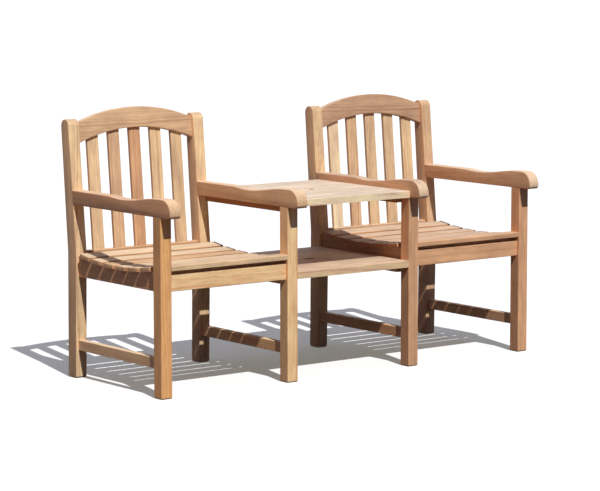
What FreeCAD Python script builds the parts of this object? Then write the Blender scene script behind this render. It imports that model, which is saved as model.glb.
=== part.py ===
import FreeCAD, Part
import math
import os
import re
import Sketcher

# Companion seat bench: two slatted teak armchairs joined by a table top and a shelf.
# Millimetres, +X to the right along the bench, -Y to the front, +Z up. The origin is on the floor,
# midway along the bench, and midway from the arm noses to the backs of the rear posts.
# A piece is drawn in its chair's frame: x from the middle of the chair or of the piece itself,
# y back from the front faces of the front legs, z up from the floor. Back slats and crown rails are
# drawn upright in the plane of the back, and their placement leans them.

SIZES = [
    # Whole bench
    ("chair_width", 557, "one chair over its legs"),
    ("chair_depth", 505.5, "leg fronts to the fronts of the rear posts at their bend"),
    ("table_width", 485, "clear width between the chairs"),
    ("leg_width", 43, "front leg and rear post, side to side"),
    ("arm_height", 594, "floor to the underside of the arm"),
    ("rail_height", 350, "floor to the underside of apron, side rail and rear rail"),
    ("back_height", 913, "floor to the top of the crown rail"),
    # Front leg
    ("leg_depth", 44, "front leg, front to back"),
    ("foot_chamfer", 4, "chamfer round each foot"),
    ("edge_ease", 1.5, "chamfer on the long edges of the frame"),
    # Rear post
    ("post_foot_rake", 9.5, "foot of the post behind its bend"),
    ("post_foot_depth", 48, "front to back at the floor"),
    ("knee_drop", 3, "bend below the top of the rear rail"),
    ("knee_depth", 52, "front to back at the bend"),
    ("knee_radius", 200, "easing of the bend"),
    ("post_horn", 12.8, "rounded top above the ends of the crown rail"),
    ("post_top_depth", 46.4, "front to back where the rounding starts"),
    ("back_angle", 5.3, "lean of the back from upright, in degrees"),
    # Arm
    ("arm_thickness", 48, "thickness where the arm meets the post"),
    ("arm_dip", 6, "dip of the top below its rear flat"),
    ("arm_hump", 12.5, "rise of the nose above the rear flat"),
    ("arm_overhang", 55.5, "nose ahead of the leg"),
    ("arm_nose_flat", 8.5, "upright face between the nose's roll-over and its chin"),
    ("arm_chin_radius", 6, "rounding under the nose"),
    ("arm_hump_place", 10, "leg front to the end of the hump"),
    ("arm_dip_place", 228, "leg front to the lowest point of the dip"),
    ("arm_flat_place", 322, "leg front to the start of the rear flat"),
    ("arm_ease", 2, "chamfer on the arm's upper edges"),
    # Apron, rails and stretchers
    ("apron_depth", 54.5, "apron, top to bottom"),
    ("apron_thickness", 24, "apron, front to back"),
    ("apron_setback", 10, "apron behind the leg fronts"),
    ("side_rail_depth", 48, "side rail, top to bottom at its lowest"),
    ("side_rail_thickness", 22, "side rail, side to side"),
    ("side_rail_setback", 10, "side rail in from the chair's outer face"),
    ("rear_rail_depth", 83, "rear rail, top to bottom"),
    ("rear_rail_thickness", 26, "rear rail, front to back"),
    ("rear_rail_offset", 3.5, "middle of the rear rail behind the middle of the back slats"),
    ("stretcher_height", 96, "floor to the underside of the stretcher"),
    ("stretcher_depth", 36, "stretcher, top to bottom"),
    ("stretcher_thickness", 22, "stretcher, side to side"),
    ("stretcher_setback", 10, "stretcher in from the chair's outer face"),
    # Crown rail and back slats
    ("crown_depth", 71, "crown rail, top to bottom"),
    ("crown_rise", 46, "rise of its arch over the span"),
    ("crown_thickness", 26, "crown rail, front to back"),
    ("crown_setback", 10, "crown rail behind the post's front"),
    ("crown_ease", 2, "chamfer on its upper edges"),
    ("crown_shoulder", 12, "step from its edges to its tenons"),
    ("back_slat_width", 45, "side to side"),
    ("back_slat_thickness", 12, "front to back"),
    ("back_slat_offset", 2.5, "middle of the back slats behind the middle of the crown rail"),
    ("back_slat_housing", 12, "depth of the slat in each rail"),
    ("back_slat_ease", 1, "chamfer on the slat's long edges"),
    # Seat
    ("seat_dish_radius", 1290, "radius of the scooped side rails"),
    ("seat_dish_place", 264, "leg front to the lowest point of the dish"),
    ("seat_slat_width", 57, "front to back"),
    ("seat_slat_thickness", 15, "top to bottom"),
    ("seat_front_gap", 17, "front slat to the first long slat"),
    ("seat_rear_gap", 20.5, "last long slat to the bend in the posts"),
    ("slat_round", 3, "rounding of the seat slats' upper edges"),
    ("front_slat_depth", 46, "front slat, front to back"),
    ("front_slat_thickness", 17, "front slat, top to bottom"),
    ("front_slat_gap", 13.5, "apron to the underside of the front slat"),
    ("batten_depth", 38, "batten behind the apron, top to bottom"),
    ("batten_thickness", 18, "batten, front to back"),
    ("batten_gap", 1, "batten's ends to the legs"),
    # Table top, shelf and cleats
    ("table_thickness", 24, "table top, top to bottom"),
    ("table_overhang", 4, "table top ahead of the leg fronts"),
    ("table_rear_lap", 6.5, "rear edge of the table top behind the bend in the posts"),
    ("shelf_thickness", 24, "shelf, top to bottom"),
    ("shelf_rear_lap", 7.5, "rear edge of the shelf behind the bend in the posts"),
    ("parasol_radius", 19, "hole through table top and shelf"),
    ("board_round", 2, "rounding of the upper edges of table top and shelf"),
    ("cleat_width", 50, "cleat, side to side"),
    ("cleat_thickness", 20, "cleat, top to bottom"),
    ("cleat_gap", 1, "cleat behind the front leg"),
    ("cleat_rear_gap", 5.5, "cleat ahead of the bend in the posts"),
    # Joints
    ("tenon_thickness", 10, "every rail tenon"),
    ("tenon_web", 2, "wood left between two tenons in one leg"),
    ("rail_shoulder", 6, "step from a rail's edge to its tenon"),
    ("slat_tenon_length", 12, "front slat in the leg"),
    ("slat_tenon_thickness", 9, "front slat tenon, top to bottom"),
    ("slat_tenon_shoulder", 9, "leg faces to the front slat's tenon, front and back"),
    ("arm_tenon_thickness", 14, "leg tenon in the arm, side to side"),
    ("arm_tenon_shoulder", 8, "leg faces to the tenon, front and back"),
    ("arm_tenon_height", 30, "leg tenon in the arm"),
    ("arm_rear_tenon", 18, "arm's tenon in the post"),
    ("arm_rear_shoulder", 11, "arm's top and bottom to its rear tenon"),
    ("joint_gap", 0.1, "clearance at each cheek of a joint"),
    ("tenon_relief", 1, "space past the end of a tenon"),
    ("cut_reach", 20, "how far a cut or tenon is drawn past the face that it meets, which may slant"),
]

BACK_SLATS = 5
SEAT_SLATS = 6
# Least length or volume that counts
TINY = 1e-4

doc = FreeCAD.newDocument("companion_seat")
sheet = doc.addObject("Spreadsheet::Sheet", "Sizes")
for row, (alias, size, note) in enumerate(SIZES, start=1):
    sheet.set(f"A{row}", alias)
    sheet.set(f"B{row}", str(size))
    sheet.set(f"C{row}", note)
    sheet.setAlias(f"B{row}", alias)
doc.recompute()


# Formulas over the sheet

def formula(text):
    """The expression with every size looked up in the sheet."""
    return re.sub(r"\b[a-z]+(?:_[a-z]+)+\b", r"Sizes.\g<0>", text)


def value(text):
    """What an expression comes to now."""
    result = sheet.evalExpression(text)
    return float(getattr(result, "Value", result))


def bind(item, name, text):
    """Tie a property of the item to the sheet."""
    item.setExpression(name, formula(text))


# Where things lie in a chair, as formulas

HALF_SPAN = "(chair_width / 2 - leg_width)"
LEG_PLACE = "((chair_width - leg_width) / 2)"
CHAIR_PLACE = "((chair_width + table_width) / 2)"

REAR_RAIL_TOP = "(rail_height + rear_rail_depth)"
KNEE_HEIGHT = f"({REAR_RAIL_TOP} - knee_drop)"
POST_FOOT_FRONT = "(chair_depth + post_foot_rake)"
POST_HEIGHT = "(back_height - crown_rise * cos(back_angle) + post_horn)"
TOP_RADIUS = "(post_top_depth / 2)"
TOP_CENTRE_HEIGHT = f"({POST_HEIGHT} - {TOP_RADIUS})"
TOP_CENTRE_PLACE = (
    f"(chair_depth + {TOP_RADIUS} * cos(back_angle)"
    f" + ({TOP_CENTRE_HEIGHT} + {TOP_RADIUS} * sin(back_angle) - {KNEE_HEIGHT}) * tan(back_angle))"
)
POST_REACH = f"({TOP_CENTRE_PLACE} + {TOP_RADIUS})"
FRONT_PLACE = f"((arm_overhang - {POST_REACH}) / 2)"

DISH_CENTRE_HEIGHT = "(rail_height + side_rail_depth + seat_dish_radius)"
FIRST_SLAT_PLACE = "(front_slat_depth + seat_front_gap + seat_slat_width / 2)"
LAST_SLAT_PLACE = "(chair_depth - seat_rear_gap - seat_slat_width / 2)"
SLAT_SEAT_RADIUS = "sqrt(seat_dish_radius^2 - (seat_slat_width / 2)^2)"
FRONT_SLAT_BOTTOM = "(rail_height + apron_depth + front_slat_gap)"
SIDE_RAIL_PLACE = "(chair_width / 2 - side_rail_setback - side_rail_thickness / 2)"
STRETCHER_PLACE = "(chair_width / 2 - stretcher_setback - stretcher_thickness / 2)"


def post_front(height):
    """Front face of the post at a height above the bend."""
    return f"(chair_depth + (({height}) - {KNEE_HEIGHT}) * tan(back_angle))"


def post_shin(height):
    """Front face of the post at a height below the bend."""
    return f"({POST_FOOT_FRONT} - post_foot_rake * ({height}) / {KNEE_HEIGHT})"


def dish(place):
    """Height of the side rail's scooped top at a distance behind the leg front."""
    return f"({DISH_CENTRE_HEIGHT} - sqrt(seat_dish_radius^2 - (({place}) - seat_dish_place)^2))"


def back_point(behind, up):
    """A point of the leaning back, given behind the posts' fronts and up from the rear rail, as (y, z)."""
    place = f"({post_front(REAR_RAIL_TOP)} + ({behind}) * cos(back_angle) + ({up}) * sin(back_angle))"
    height = f"({REAR_RAIL_TOP} - ({behind}) * sin(back_angle) + ({up}) * cos(back_angle))"
    return place, height


# Crown rail heights, up the leaning back from the rear rail

CROWN_TOP = f"((back_height - {REAR_RAIL_TOP} + crown_setback * sin(back_angle)) / cos(back_angle))"
CROWN_BOTTOM = f"({CROWN_TOP} - crown_depth)"
CROWN_RADIUS = f"(({HALF_SPAN}^2 + crown_rise^2) / (2 * crown_rise))"
CROWN_END_MIDDLE = f"({CROWN_BOTTOM} - crown_rise + crown_depth / 2)"
CROWN_MIDDLE = "(crown_setback + crown_thickness / 2)"
BACK_SLAT_MIDDLE = f"({CROWN_MIDDLE} + back_slat_offset)"
BACK_SLAT_FRONT = f"({BACK_SLAT_MIDDLE} - back_slat_thickness / 2)"


def crown_underside(place):
    """Height of the arch at a distance from the chair's middle."""
    return f"({CROWN_BOTTOM} - {CROWN_RADIUS} + sqrt({CROWN_RADIUS}^2 - ({place})^2))"


# Tenons: the middle of the section in its sketch, then its two sizes

RAIL_TENON = "(leg_width - side_rail_setback - (side_rail_thickness + tenon_thickness) / 2 - tenon_web)"

APRON_TENON = (
    "(apron_setback + apron_thickness / 2)",
    "(rail_height + apron_depth / 2)",
    "tenon_thickness",
    "(apron_depth - 2 * rail_shoulder)",
)
FRONT_SLAT_TENON = (
    "(leg_depth / 2)",
    f"({FRONT_SLAT_BOTTOM} + front_slat_thickness / 2)",
    "(leg_depth - 2 * slat_tenon_shoulder)",
    "slat_tenon_thickness",
)
REAR_RAIL_MIDDLE = f"({post_front(REAR_RAIL_TOP)} + {BACK_SLAT_MIDDLE} + rear_rail_offset)"
REAR_RAIL_TENON = (
    REAR_RAIL_MIDDLE,
    "(rail_height + rear_rail_depth / 2)",
    "tenon_thickness",
    "(rear_rail_depth - 2 * rail_shoulder)",
)
CROWN_TENON = (
    CROWN_MIDDLE,
    CROWN_END_MIDDLE,
    "tenon_thickness",
    "(crown_depth - 2 * crown_shoulder)",
)


def side_rail_tenon(place):
    """Section of the side rail's tenons, at a place across the piece that it is drawn in."""
    return (
        place,
        "(rail_height + side_rail_depth / 2)",
        "tenon_thickness",
        "(side_rail_depth - 2 * rail_shoulder)",
    )


def stretcher_tenon(place):
    """Section of the stretcher's tenons, at a place across the piece that it is drawn in."""
    return (
        place,
        "(stretcher_height + stretcher_depth / 2)",
        "tenon_thickness",
        "(stretcher_depth - 2 * rail_shoulder)",
    )


ARM_REAR_MIDDLE = "(arm_height + arm_thickness / 2)"
ARM_REAR_TENON = ("0", ARM_REAR_MIDDLE, "arm_tenon_thickness", "(arm_thickness - 2 * arm_rear_shoulder)")
LEG_TENON = ("0", "(leg_depth / 2)", "arm_tenon_thickness", "(leg_depth - 2 * arm_tenon_shoulder)")


def section(tenon):
    """Corners of a tenon's section."""
    place, level, width, height = tenon
    return rectangle(
        f"{place} - {width} / 2", f"{place} + {width} / 2",
        f"{level} - {height} / 2", f"{level} + {height} / 2",
    )


def socket(tenon):
    """Corners of the mortise that the tenon fits."""
    place, level, width, height = tenon
    return section((place, level, f"({width} + 2 * joint_gap)", f"({height} + 2 * joint_gap)"))


# Drawing and building

def rectangle(left, right, low, high):
    """Four corners."""
    return [(left, low), (right, low), (right, high), (left, high)]


def datum(body, role):
    """An origin plane or axis of the body."""
    return next(feature for feature in body.Origin.OriginFeatures if feature.Role == role)


def new_body(label, place, lean="0"):
    """A body at a place of the bench, given as x, y and z, leaned back by an angle."""
    body = doc.addObject("PartDesign::Body", label)
    body.Label = label
    bind(body, "Placement", f"placement(vector({place[0]}; {place[1]}; {place[2]}); rotationx(-({lean})))")
    return body


def new_sketch(body, name, role, start):
    """A sketch on an origin plane of the body, moved to start along the axis across the plane."""
    sketch = body.newObject("Sketcher::SketchObject", name)
    sketch.AttachmentSupport = [(datum(body, role), "")]
    sketch.MapMode = "FlatFace"
    bind(sketch, "AttachmentOffset.Base.z", f"-({start})" if role == "XZ_Plane" else start)
    return sketch


def pin(sketch, geometry, end, corner):
    """Hold one point of the sketch by its two distances from the origin."""
    for kind, text in zip(("DistanceX", "DistanceY"), corner):
        index = sketch.addConstraint(Sketcher.Constraint(kind, -1, 1, geometry, end, value(text)))
        sketch.setExpression(f"Constraints[{index}]", formula(text))


def arc_between(first, last, radius):
    """An arc that bows out to the right of the way from first to last, or to the left if negative."""
    chord = last - first
    right = FreeCAD.Vector(chord.y, -chord.x, 0).normalize()
    rise = abs(radius) - math.sqrt(radius**2 - (chord.Length / 2) ** 2)
    middle = (first + last) / 2 + right * math.copysign(rise, radius)
    return Part.Arc(first, middle, last)


def draw(sketch, outline):
    """Close a loop, anticlockwise. A corner's third entry is the radius of the arc that leaves it."""
    points = [FreeCAD.Vector(value(corner[0]), value(corner[1]), 0) for corner in outline]
    ends = []
    for index, corner in enumerate(outline):
        first, last = points[index], points[(index + 1) % len(points)]
        if len(corner) == 2:
            geometry = sketch.addGeometry(Part.LineSegment(first, last))
            ends.append((geometry, 1, 2))
            continue
        radius = value(corner[2])
        geometry = sketch.addGeometry(arc_between(first, last, radius))
        ends.append((geometry, 1, 2) if radius > 0 else (geometry, 2, 1))
    for (geometry, start, _), (previous, _, stop), corner in zip(ends, ends[-1:] + ends[:-1], outline):
        sketch.addConstraint(Sketcher.Constraint("Coincident", previous, stop, geometry, start))
        pin(sketch, geometry, start, corner[:2])
        if len(corner) == 3:
            radius = abs(value(corner[2]))
            index = sketch.addConstraint(Sketcher.Constraint("Radius", geometry, radius))
            sketch.setExpression(f"Constraints[{index}]", formula(f"abs({corner[2]})"))


def volume(body):
    """Volume of the body as built so far."""
    return body.Tip.Shape.Volume if body.Tip else 0.0


def thicken(body, sketch, name, length, removing=False, symmetric=False):
    """Pad or cut the sketch along the axis across its plane, and see that it took effect."""
    before = volume(body)
    feature = body.newObject("PartDesign::Pocket" if removing else "PartDesign::Pad", name)
    feature.Profile = sketch
    bind(feature, "Length", length)
    if symmetric:
        feature.SideType = "Symmetric"
    else:
        against = sketch.AttachmentSupport[0][0].Role == "XZ_Plane"
        feature.Reversed = against != removing
    doc.recompute()
    if (volume(body) < before - TINY) != removing:
        raise ValueError(f"{name} of {body.Label} changed nothing")
    return feature


def pad(body, name, role, outline, start, length):
    """Add the outline from start for a length along the axis across the plane."""
    sketch = new_sketch(body, f"{name}_sketch", role, start)
    draw(sketch, outline)
    return thicken(body, sketch, name, length)


def pad_both_ways(body, name, role, outline, length):
    """Add the outline half of the length to each side of the plane."""
    sketch = new_sketch(body, f"{name}_sketch", role, "0")
    draw(sketch, outline)
    return thicken(body, sketch, name, length, symmetric=True)


def cut(body, name, role, outlines, start, length):
    """Cut the outlines from start for a length along the axis across the plane."""
    sketch = new_sketch(body, f"{name}_sketch", role, start)
    for outline in outlines:
        draw(sketch, outline)
    return thicken(body, sketch, name, length, removing=True)


def drill(body, name, centre, radius, start, length):
    """Cut an upright round hole from start for a length upwards."""
    sketch = new_sketch(body, f"{name}_sketch", "XY_Plane", start)
    middle = FreeCAD.Vector(value(centre[0]), value(centre[1]), 0)
    geometry = sketch.addGeometry(Part.Circle(middle, FreeCAD.Vector(0, 0, 1), value(radius)))
    pin(sketch, geometry, 3, centre)
    index = sketch.addConstraint(Sketcher.Constraint("Radius", geometry, value(radius)))
    sketch.setExpression(f"Constraints[{index}]", formula(radius))
    return thicken(body, sketch, name, length, removing=True)


def outwards(side, near, far):
    """Start and length of the stretch from near to far, on one side of the middle."""
    return (near if side > 0 else f"-({far})"), f"(({far}) - ({near}))"


def dress(body, kind, name, size, wanted):
    """Fillet or chamfer the edges that are wanted."""
    base = body.Tip
    edges = enumerate(base.Shape.Edges, start=1)
    chosen = [f"Edge{number}" for number, edge in edges if wanted(edge.BoundBox)]
    feature = body.newObject(f"PartDesign::{kind}", name)
    feature.Base = (base, chosen)
    bind(feature, "Radius" if kind == "Fillet" else "Size", size)
    doc.recompute()
    if abs(volume(body) - base.Shape.Volume) < TINY:
        raise ValueError(f"{name} of {body.Label} changed nothing")


def upright(box):
    """Whether an edge runs up."""
    return box.ZLength > max(box.XLength, box.YLength)


def crosswise(box):
    """Whether an edge runs from side to side."""
    return box.XLength > max(box.YLength, box.ZLength)


def lengthwise(box):
    """Whether an edge runs from front to back."""
    return box.YLength > box.XLength + box.ZLength


def underfoot(box):
    """Whether an edge runs from side to side on the floor."""
    return crosswise(box) and box.ZMax < TINY


def bevel_foot_sides(body, front, depth):
    """Saw a bevel along both sides of a foot."""
    inner = "leg_width / 2 - 2 * foot_chamfer"
    outer = "leg_width / 2 + foot_chamfer"
    below = "-foot_chamfer"
    above = "2 * foot_chamfer"
    right = [(inner, below), (outer, below), (outer, above)]
    left = [(f"-({outer})", below), (f"-({inner})", below), (f"-({outer})", above)]
    start = f"{front} - cut_reach"
    cut(body, "foot_sides", "XZ_Plane", [left, right], start, f"{depth} + 2 * cut_reach")


# Pieces of a chair. "chair" is -1 for the left chair and 1 for the right one, and "side" is the same
# for the piece's side of its chair.

def chair_place(chair, side=0, offset="0"):
    """Place of a piece on one side of a chair."""
    return f"{chair} * {CHAIR_PLACE} + {side} * {offset}", FRONT_PLACE, "0"


def front_leg(label, chair, side):
    """Front leg, with a tenon for the arm and mortises for apron, front slat, side rail and stretcher."""
    body = new_body(label, chair_place(chair, side, LEG_PLACE))
    stock = rectangle("-leg_width / 2", "leg_width / 2", "0", "leg_depth")
    pad(body, "stock", "XY_Plane", stock, "0", "arm_height")
    dress(body, "Chamfer", "foot", "foot_chamfer", underfoot)
    dress(body, "Chamfer", "eased_edges", "edge_ease", upright)
    bevel_foot_sides(body, "0", "leg_depth")
    pad(body, "arm_tenon", "XY_Plane", section(LEG_TENON), "arm_height", "arm_tenon_height")
    outside = f"leg_width / 2 + cut_reach"
    start, length = outwards(-side, f"leg_width / 2 - {RAIL_TENON} - tenon_relief", outside)
    cut(body, "apron_mortise", "YZ_Plane", [socket(APRON_TENON)], start, length)
    start, length = outwards(-side, "leg_width / 2 - slat_tenon_length - tenon_relief", outside)
    cut(body, "slat_mortise", "YZ_Plane", [socket(FRONT_SLAT_TENON)], start, length)
    rail = side_rail_tenon(f"({side} * ({SIDE_RAIL_PLACE} - {LEG_PLACE}))")
    stretcher = stretcher_tenon(f"({side} * ({STRETCHER_PLACE} - {LEG_PLACE}))")
    start = f"leg_depth - {RAIL_TENON} - tenon_relief"
    deep = f"cut_reach + {RAIL_TENON} + tenon_relief"
    cut(body, "rail_mortises", "XZ_Plane", [socket(rail), socket(stretcher)], start, deep)


def rear_post(label, chair, side):
    """Rear post from floor to rounded top, bent at the knee, with its mortises."""
    body = new_body(label, chair_place(chair, side, LEG_PLACE))
    shoulder_out = f"{TOP_RADIUS} * cos(back_angle)"
    shoulder_up = f"{TOP_RADIUS} * sin(back_angle)"
    side_view = [
        (POST_FOOT_FRONT, "0"),
        (f"{POST_FOOT_FRONT} + post_foot_depth", "0"),
        ("chair_depth + knee_depth", KNEE_HEIGHT),
        (f"{TOP_CENTRE_PLACE} + {shoulder_out}", f"{TOP_CENTRE_HEIGHT} - {shoulder_up}", TOP_RADIUS),
        (TOP_CENTRE_PLACE, POST_HEIGHT, TOP_RADIUS),
        (f"{TOP_CENTRE_PLACE} - {shoulder_out}", f"{TOP_CENTRE_HEIGHT} + {shoulder_up}"),
        ("chair_depth", KNEE_HEIGHT),
    ]
    pad_both_ways(body, "stock", "YZ_Plane", side_view, "leg_width")
    knee = value(KNEE_HEIGHT)
    dress(body, "Fillet", "knee", "knee_radius", lambda box: crosswise(box) and abs(box.ZMin - knee) < TINY)
    dress(body, "Chamfer", "foot", "foot_chamfer", underfoot)
    dress(body, "Chamfer", "eased_edges", "edge_ease", lambda box: box.XLength < TINY and box.ZMax > TINY)
    bevel_foot_sides(body, POST_FOOT_FRONT, "post_foot_depth")
    start = f"{post_front(ARM_REAR_MIDDLE)} - cut_reach"
    deep = f"cut_reach + arm_rear_tenon + tenon_relief"
    cut(body, "arm_mortise", "XZ_Plane", [socket(ARM_REAR_TENON)], start, deep)
    deep = f"cut_reach + {RAIL_TENON} + tenon_relief"
    rail = side_rail_tenon(f"({side} * ({SIDE_RAIL_PLACE} - {LEG_PLACE}))")
    cut(body, "rail_mortise", "XZ_Plane", [socket(rail)], f"{post_shin(rail[1])} - cut_reach", deep)
    stretcher = stretcher_tenon(f"({side} * ({STRETCHER_PLACE} - {LEG_PLACE}))")
    start = f"{post_shin(stretcher[1])} - cut_reach"
    cut(body, "stretcher_mortise", "XZ_Plane", [socket(stretcher)], start, deep)
    start, length = outwards(
        -side, f"leg_width / 2 - {RAIL_TENON} - tenon_relief", f"leg_width / 2 + cut_reach"
    )
    crown = [back_point(behind, up) for behind, up in socket(CROWN_TENON)]
    cut(body, "cross_rail_mortises", "YZ_Plane", [socket(REAR_RAIL_TENON), crown], start, length)


def s_bend(run, rise):
    """Radius of each half of an S-bend between two level ends."""
    return f"((({run}) / 2)^2 + (({rise}) / 2)^2) / ({rise})"


def arm(label, chair, side):
    """Arm: level at the post, a dip, a hump and a rolled nose, on the leg's tenon and in the post."""
    body = new_body(label, chair_place(chair, side, LEG_PLACE))
    flat = "(arm_height + arm_thickness)"
    low = f"({flat} - arm_dip)"
    high = f"({flat} + arm_hump)"
    roll = "(arm_thickness + arm_hump - arm_nose_flat - arm_chin_radius)"
    rear_bend = s_bend("arm_flat_place - arm_dip_place", "arm_dip")
    front_bend = s_bend("arm_dip_place - arm_hump_place", "arm_hump + arm_dip")
    side_view = [
        ("arm_chin_radius - arm_overhang", "arm_height"),
        (post_front("arm_height"), "arm_height"),
        (post_front(flat), flat),
        ("arm_flat_place", flat, rear_bend),
        ("(arm_flat_place + arm_dip_place) / 2", f"({flat} + {low}) / 2", f"-{rear_bend}"),
        ("arm_dip_place", low, f"-{front_bend}"),
        ("(arm_dip_place + arm_hump_place) / 2", f"({low} + {high}) / 2", front_bend),
        ("arm_hump_place", high),
        (f"{roll} - arm_overhang", high, roll),
        ("-arm_overhang", f"{high} - {roll}"),
        ("-arm_overhang", "arm_height + arm_chin_radius", "arm_chin_radius"),
    ]
    pad_both_ways(body, "stock", "YZ_Plane", side_view, "leg_width")
    bottom = value("arm_height")
    rear = value(post_front("arm_height")) - TINY
    dress(
        body, "Chamfer", "eased_edges", "arm_ease",
        lambda box: box.XLength < TINY and box.ZMax > bottom + TINY and box.YMin < rear,
    )
    start = f"{post_front(ARM_REAR_MIDDLE)} - cut_reach"
    pad(body, "rear_tenon", "XZ_Plane", section(ARM_REAR_TENON), start, f"cut_reach + arm_rear_tenon")
    cut(body, "leg_mortise", "XY_Plane", [socket(LEG_TENON)], f"arm_height - cut_reach",
        f"cut_reach + arm_tenon_height + tenon_relief")


def end_tenons(body, tenon):
    """Tenons of a side rail or stretcher, in the front leg and in the rear post."""
    outline = section(tenon)
    length = f"{RAIL_TENON} + cut_reach"
    pad(body, "front_tenon", "XZ_Plane", outline, f"leg_depth - {RAIL_TENON}", length)
    pad(body, "rear_tenon", "XZ_Plane", outline, f"{post_shin(tenon[1])} - cut_reach", length)


def side_rail(label, chair, side):
    """Seat side rail, scooped along its top."""
    body = new_body(label, chair_place(chair, side, SIDE_RAIL_PLACE))
    rear_top = post_shin(dish("chair_depth"))
    side_view = [
        ("leg_depth", "rail_height"),
        (post_shin("rail_height"), "rail_height"),
        (rear_top, dish(rear_top), "-seat_dish_radius"),
        ("leg_depth", dish("leg_depth")),
    ]
    pad_both_ways(body, "stock", "YZ_Plane", side_view, "side_rail_thickness")
    end_tenons(body, side_rail_tenon("0"))


def stretcher(label, chair, side):
    """Lower side stretcher."""
    body = new_body(label, chair_place(chair, side, STRETCHER_PLACE))
    top = "(stretcher_height + stretcher_depth)"
    side_view = [
        ("leg_depth", "stretcher_height"),
        (post_shin("stretcher_height"), "stretcher_height"),
        (post_shin(top), top),
        ("leg_depth", top),
    ]
    pad_both_ways(body, "stock", "YZ_Plane", side_view, "stretcher_thickness")
    dress(body, "Chamfer", "eased_edges", "edge_ease", lengthwise)
    end_tenons(body, stretcher_tenon("0"))


def cross_rail(body, outline, tenon, tenon_length):
    """Stock between the legs or posts, with a tenon at each end."""
    pad_both_ways(body, "stock", "YZ_Plane", outline, f"2 * {HALF_SPAN}")
    dress(body, "Chamfer", "eased_edges", "edge_ease", crosswise)
    pad_both_ways(body, "tenons", "YZ_Plane", section(tenon), f"2 * ({HALF_SPAN} + {tenon_length})")


def front_apron(label, chair):
    """Apron under the front slat."""
    body = new_body(label, chair_place(chair))
    outline = rectangle(
        "apron_setback", "apron_setback + apron_thickness", "rail_height", "rail_height + apron_depth"
    )
    cross_rail(body, outline, APRON_TENON, RAIL_TENON)


def front_batten(label, chair):
    """Batten on the back of the apron, which carries the front slat."""
    body = new_body(label, chair_place(chair))
    front = "(apron_setback + apron_thickness)"
    outline = rectangle(
        front, f"{front} + batten_thickness", f"{FRONT_SLAT_BOTTOM} - batten_depth", FRONT_SLAT_BOTTOM
    )
    pad_both_ways(body, "stock", "YZ_Plane", outline, f"2 * ({HALF_SPAN} - batten_gap)")
    dress(body, "Chamfer", "eased_edges", "edge_ease", crosswise)


def front_slat(label, chair):
    """Front seat slat, flush with the legs."""
    body = new_body(label, chair_place(chair))
    top = f"({FRONT_SLAT_BOTTOM} + front_slat_thickness)"
    outline = rectangle("0", "front_slat_depth", FRONT_SLAT_BOTTOM, top)
    pad_both_ways(body, "stock", "YZ_Plane", outline, f"2 * {HALF_SPAN}")
    upper = value(top) - TINY
    dress(body, "Fillet", "rounded_edges", "slat_round", lambda box: crosswise(box) and box.ZMin > upper)
    pad_both_ways(
        body, "tenons", "YZ_Plane", section(FRONT_SLAT_TENON), f"2 * ({HALF_SPAN} + slat_tenon_length)"
    )


def slat_middles():
    """Distances of the back slats from the chair's middle."""
    pitch = f"((2 * {HALF_SPAN} + back_slat_width) / {BACK_SLATS + 1})"
    return [f"({number - (BACK_SLATS - 1) / 2} * {pitch})" for number in range(BACK_SLATS)]


def slat_top(middle):
    """Height of a back slat's top, housed in the crown rail at the slat's higher edge."""
    inner = f"max(abs({middle}) - back_slat_width / 2; 0)"
    return f"({crown_underside(inner)} + back_slat_housing)"


def rear_rail(label, chair):
    """Rear rail, with a leaning mortise in its top for each back slat."""
    body = new_body(label, chair_place(chair))
    outline = rectangle(
        f"{REAR_RAIL_MIDDLE} - rear_rail_thickness / 2", f"{REAR_RAIL_MIDDLE} + rear_rail_thickness / 2",
        "rail_height", REAR_RAIL_TOP,
    )
    cross_rail(body, outline, REAR_RAIL_TENON, RAIL_TENON)
    foot = rectangle(
        f"{BACK_SLAT_FRONT} - joint_gap", f"{BACK_SLAT_FRONT} + back_slat_thickness + joint_gap",
        "-back_slat_housing", "cut_reach",
    )
    middles = slat_middles()
    width = "(back_slat_width + 2 * joint_gap)"
    first = cut(
        body, "slat_mortise", "YZ_Plane", [[back_point(behind, up) for behind, up in foot]],
        f"{middles[0]} - {width} / 2", width,
    )
    before = volume(body)
    pattern = body.newObject("PartDesign::LinearPattern", "slat_mortises")
    pattern.Originals = [first]
    pattern.Direction = (datum(body, "X_Axis"), [""])
    pattern.Occurrences = BACK_SLATS
    bind(pattern, "Length", f"{middles[-1]} - {middles[0]}")
    body.Tip = pattern
    doc.recompute()
    if volume(body) > before - TINY:
        raise ValueError(f"the mortises of {label} were not repeated")


def crown_rail(label, chair):
    """Crown rail: arched along both edges, housing the tops of the back slats."""
    body = new_back_body(label, chair)
    low = f"({CROWN_BOTTOM} - crown_rise)"
    high = f"({CROWN_TOP} - crown_rise)"
    front_view = [
        (f"-{HALF_SPAN}", low, f"-{CROWN_RADIUS}"),
        (HALF_SPAN, low),
        (HALF_SPAN, high, CROWN_RADIUS),
        (f"-{HALF_SPAN}", high),
    ]
    pad(body, "stock", "XZ_Plane", front_view, "crown_setback", "crown_thickness")
    arch = value(CROWN_TOP) - TINY
    dress(body, "Chamfer", "eased_edges", "crown_ease", lambda box: crosswise(box) and box.ZMax > arch)
    for side, name in ((-1, "left_tenon"), (1, "right_tenon")):
        start, length = outwards(side, HALF_SPAN, f"{HALF_SPAN} + {RAIL_TENON}")
        pad(body, name, "YZ_Plane", section(CROWN_TENON), start, length)
    width = "(back_slat_width / 2 + joint_gap)"
    mortises = [
        rectangle(f"{middle} - {width}", f"{middle} + {width}", low, f"{slat_top(middle)} + tenon_relief")
        for middle in slat_middles()
    ]
    start = f"{BACK_SLAT_FRONT} - joint_gap"
    cut(body, "slat_mortises", "XZ_Plane", mortises, start, "back_slat_thickness + 2 * joint_gap")


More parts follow.
